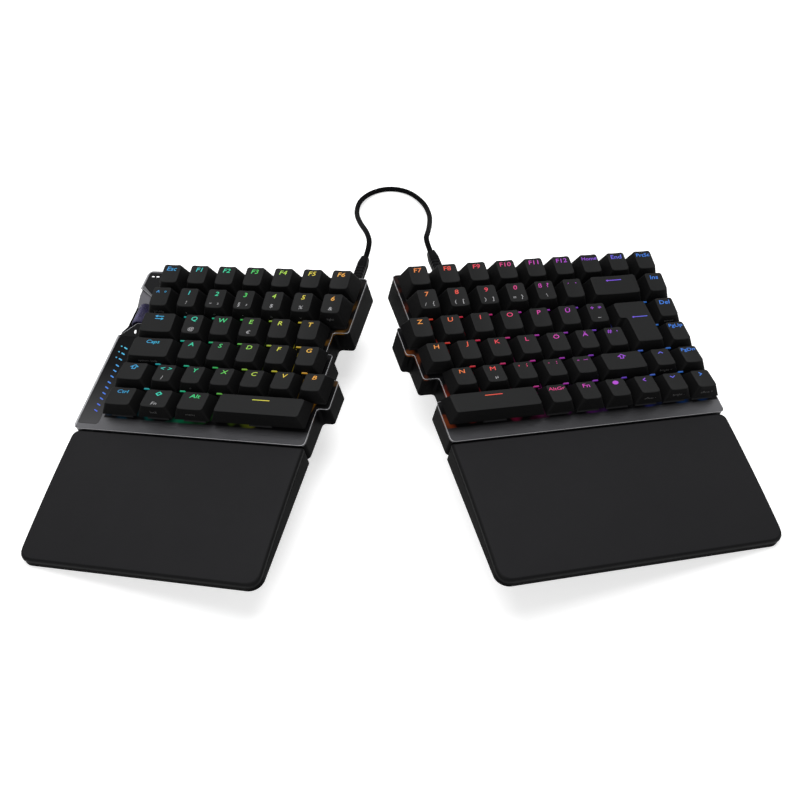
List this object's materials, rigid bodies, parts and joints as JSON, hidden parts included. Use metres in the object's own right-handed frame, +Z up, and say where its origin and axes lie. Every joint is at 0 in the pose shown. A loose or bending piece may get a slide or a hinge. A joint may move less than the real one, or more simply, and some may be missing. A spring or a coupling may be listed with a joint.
{
  "type": "split ergonomic keyboard",
  "caption": "Tented and splayed split keyboard with stepped inner edges, palm rests, a volume wheel, a light bar and a short cord that links both halves.",
  "frame": {"origin": "on the desk under the middle of both halves, without the cord", "axes": "+X to the typist's right along both halves, +Y away from the typist, +Z up"},
  "size_m": [0.4274, 0.3437, 0.068],
  "materials": {
    "case_plastic": "fine satin texture",
    "plate_metal": "brushed and anodised gunmetal",
    "keycap": "matte, with legends that let the light through",
    "board": "solder mask",
    "foam": "open foam",
    "switch_plastic": "moulded",
    "steel": "nickel plated",
    "rubber": "matte",
    "pad": "soft-touch, matte",
    "plug_plastic": "satin",
    "cord": "braided sleeve",
    "smoked_plastic": "smoked and polished",
    "wheel_plastic": "metallic, grooved"
  },
  "bodies": {
    "left_half": {"left_base_case": "case_plastic", "left_top_plate": "plate_metal", "left_circuit_board": "board", "left_damping_foam": "foam", "left_switches": "switch_plastic", "left_stabilisers": "switch_plastic", "left_ports": "steel", "left_screws": "steel", "left_rubber_feet": "rubber", "left_leg_pin": "steel", "left_palm_rest_base": "case_plastic", "left_palm_rest_pad": "pad", "left_plug": "plug_plastic", "wheel_axle": "steel", "light_bar": "smoked_plastic", "indicator_panel": "smoked_plastic", "link_cord": "cord"},
    "right_half": {"right_base_case": "case_plastic", "right_top_plate": "plate_metal", "right_circuit_board": "board", "right_damping_foam": "foam", "right_switches": "switch_plastic", "right_stabilisers": "switch_plastic", "right_ports": "steel", "right_screws": "steel", "right_rubber_feet": "rubber", "right_leg_pin": "steel", "right_palm_rest_base": "case_plastic", "right_palm_rest_pad": "pad", "right_plug": "plug_plastic"},
    "left_tent_leg": {"left_tent_leg": "case_plastic"},
    "right_tent_leg": {"right_tent_leg": "case_plastic"},
    "volume_wheel": {"volume_wheel": "wheel_plastic"},
    "escape_key": {"escape_key": "keycap"},
    "left_function_keys": {"left_function_keys": "keycap"},
    "left_number_keys": {"left_number_keys": "keycap"},
    "tab_key": {"tab_key": "keycap"},
    "left_upper_letter_keys": {"left_upper_letter_keys": "keycap"},
    "caps_key": {"caps_key": "keycap"},
    "left_home_letter_keys": {"left_home_letter_keys": "keycap"},
    "left_shift_key": {"left_shift_key": "keycap"},
    "left_lower_letter_keys": {"left_lower_letter_keys": "keycap"},
    "left_modifier_keys": {"left_modifier_keys": "keycap"},
    "left_space_key": {"left_space_key": "keycap"},
    "right_function_keys": {"right_function_keys": "keycap"},
    "right_number_keys": {"right_number_keys": "keycap"},
    "backspace_key": {"backspace_key": "keycap"},
    "right_upper_letter_keys": {"right_upper_letter_keys": "keycap"},
    "enter_key": {"enter_key": "keycap"},
    "right_home_letter_keys": {"right_home_letter_keys": "keycap"},
    "right_lower_letter_keys": {"right_lower_letter_keys": "keycap"},
    "right_shift_key": {"right_shift_key": "keycap"},
    "right_space_key": {"right_space_key": "keycap"},
    "right_modifier_keys": {"right_modifier_keys": "keycap"},
    "up_key": {"up_key": "keycap"},
    "left_arrow_key": {"left_arrow_key": "keycap"},
    "down_key": {"down_key": "keycap"},
    "right_arrow_key": {"right_arrow_key": "keycap"},
    "navigation_keys": {"navigation_keys": "keycap"}
  },
  "joints": [
    {"name": "half_spacing", "type": "slide", "parent": "left_half", "child": "right_half", "axis": [1, 0, 0], "range_m": [-0.008, 0.04], "deforming": ["link_cord"]},
    {"name": "left_tent_leg_hinge", "type": "hinge", "parent": "left_half", "child": "left_tent_leg", "pos_m": [-0.06184, 0.04415, 0.026], "axis": [0.2709, 0.9626, 0], "range_deg": [0, 90]},
    {"name": "right_tent_leg_hinge", "type": "hinge", "parent": "right_half", "child": "right_tent_leg", "pos_m": [0.03928, 0.0419, 0.03096], "axis": [-0.2709, 0.9626, 0], "range_deg": [-90, 0]},
    {"name": "volume_wheel_spin", "type": "hinge", "parent": "left_half", "child": "volume_wheel", "pos_m": [-0.16064, 0.08634, 0.01406], "axis": [0.264, 0.9639, 0.0333], "continuous": true},
    {"name": "escape_key_press", "type": "slide", "parent": "left_half", "child": "escape_key", "axis": [0.2084, -0.0233, -0.9778], "range_m": [0, 0.0036], "stiffness_N_per_m": 51, "springref_m": -0.0062},
    {"name": "left_function_keys_press", "type": "slide", "parent": "left_half", "child": "left_function_keys", "axis": [0.2084, -0.0233, -0.9778], "range_m": [0, 0.0036], "stiffness_N_per_m": 306, "springref_m": -0.0062},
    {"name": "left_number_keys_press", "type": "slide", "parent": "left_half", "child": "left_number_keys", "axis": [0.2084, -0.0233, -0.9778], "range_m": [0, 0.0036], "stiffness_N_per_m": 357, "springref_m": -0.0062},
    {"name": "tab_key_press", "type": "slide", "parent": "left_half", "child": "tab_key", "axis": [0.2084, -0.0233, -0.9778], "range_m": [0, 0.0036], "stiffness_N_per_m": 51, "springref_m": -0.0062},
    {"name": "left_upper_letter_keys_press", "type": "slide", "parent": "left_half", "child": "left_upper_letter_keys", "axis": [0.2084, -0.0233, -0.9778], "range_m": [0, 0.0036], "stiffness_N_per_m": 255, "springref_m": -0.0062},
    {"name": "caps_key_press", "type": "slide", "parent": "left_half", "child": "caps_key", "axis": [0.2084, -0.0233, -0.9778], "range_m": [0, 0.0036], "stiffness_N_per_m": 51, "springref_m": -0.0062},
    {"name": "left_home_letter_keys_press", "type": "slide", "parent": "left_half", "child": "left_home_letter_keys", "axis": [0.2084, -0.0233, -0.9778], "range_m": [0, 0.0036], "stiffness_N_per_m": 255, "springref_m": -0.0062},
    {"name": "left_shift_key_press", "type": "slide", "parent": "left_half", "child": "left_shift_key", "axis": [0.2084, -0.0233, -0.9778], "range_m": [0, 0.0036], "stiffness_N_per_m": 51, "springref_m": -0.0062},
    {"name": "left_lower_letter_keys_press", "type": "slide", "parent": "left_half", "child": "left_lower_letter_keys", "axis": [0.2084, -0.0233, -0.9778], "range_m": [0, 0.0036], "stiffness_N_per_m": 306, "springref_m": -0.0062},
    {"name": "left_modifier_keys_press", "type": "slide", "parent": "left_half", "child": "left_modifier_keys", "axis": [0.2084, -0.0233, -0.9778], "range_m": [0, 0.0036], "stiffness_N_per_m": 153, "springref_m": -0.0062},
    {"name": "left_space_key_press", "type": "slide", "parent": "left_half", "child": "left_space_key", "axis": [0.2084, -0.0233, -0.9778], "range_m": [0, 0.0036], "stiffness_N_per_m": 51, "springref_m": -0.0062},
    {"name": "right_function_keys_press", "type": "slide", "parent": "right_half", "child": "right_function_keys", "axis": [-0.2084, -0.0233, -0.9778], "range_m": [0, 0.0036], "stiffness_N_per_m": 306, "springref_m": -0.0062},
    {"name": "right_number_keys_press", "type": "slide", "parent": "right_half", "child": "right_number_keys", "axis": [-0.2084, -0.0233, -0.9778], "range_m": [0, 0.0036], "stiffness_N_per_m": 306, "springref_m": -0.0062},
    {"name": "backspace_key_press", "type": "slide", "parent": "right_half", "child": "backspace_key", "axis": [-0.2084, -0.0233, -0.9778], "range_m": [0, 0.0036], "stiffness_N_per_m": 51, "springref_m": -0.0062},
    {"name": "right_upper_letter_keys_press", "type": "slide", "parent": "right_half", "child": "right_upper_letter_keys", "axis": [-0.2084, -0.0233, -0.9778], "range_m": [0, 0.0036], "stiffness_N_per_m": 357, "springref_m": -0.0062},
    {"name": "enter_key_press", "type": "slide", "parent": "right_half", "child": "enter_key", "axis": [-0.2084, -0.0233, -0.9778], "range_m": [0, 0.0036], "stiffness_N_per_m": 51, "springref_m": -0.0062},
    {"name": "right_home_letter_keys_press", "type": "slide", "parent": "right_half", "child": "right_home_letter_keys", "axis": [-0.2084, -0.0233, -0.9778], "range_m": [0, 0.0036], "stiffness_N_per_m": 357, "springref_m": -0.0062},
    {"name": "right_lower_letter_keys_press", "type": "slide", "parent": "right_half", "child": "right_lower_letter_keys", "axis": [-0.2084, -0.0233, -0.9778], "range_m": [0, 0.0036], "stiffness_N_per_m": 255, "springref_m": -0.0062},
    {"name": "right_shift_key_press", "type": "slide", "parent": "right_half", "child": "right_shift_key", "axis": [-0.2084, -0.0233, -0.9778], "range_m": [0, 0.0036], "stiffness_N_per_m": 51, "springref_m": -0.0062},
    {"name": "right_space_key_press", "type": "slide", "parent": "right_half", "child": "right_space_key", "axis": [-0.2084, -0.0233, -0.9778], "range_m": [0, 0.0036], "stiffness_N_per_m": 51, "springref_m": -0.0062},
    {"name": "right_modifier_keys_press", "type": "slide", "parent": "right_half", "child": "right_modifier_keys", "axis": [-0.2084, -0.0233, -0.9778], "range_m": [0, 0.0036], "stiffness_N_per_m": 153, "springref_m": -0.0062},
    {"name": "up_key_press", "type": "slide", "parent": "right_half", "child": "up_key", "axis": [-0.2084, -0.0233, -0.9778], "range_m": [0, 0.0036], "stiffness_N_per_m": 51, "springref_m": -0.0062},
    {"name": "left_arrow_key_press", "type": "slide", "parent": "right_half", "child": "left_arrow_key", "axis": [-0.2084, -0.0233, -0.9778], "range_m": [0, 0.0036], "stiffness_N_per_m": 51, "springref_m": -0.0062},
    {"name": "down_key_press", "type": "slide", "parent": "right_half", "child": "down_key", "axis": [-0.2084, -0.0233, -0.9778], "range_m": [0, 0.0036], "stiffness_N_per_m": 51, "springref_m": -0.0062},
    {"name": "right_arrow_key_press", "type": "slide", "parent": "right_half", "child": "right_arrow_key", "axis": [-0.2084, -0.0233, -0.9778], "range_m": [0, 0.0036], "stiffness_N_per_m": 51, "springref_m": -0.0062},
    {"name": "navigation_keys_press", "type": "slide", "parent": "right_half", "child": "navigation_keys", "axis": [-0.2084, -0.0233, -0.9778], "range_m": [0, 0.0036], "stiffness_N_per_m": 357, "springref_m": -0.0062}
  ]
}
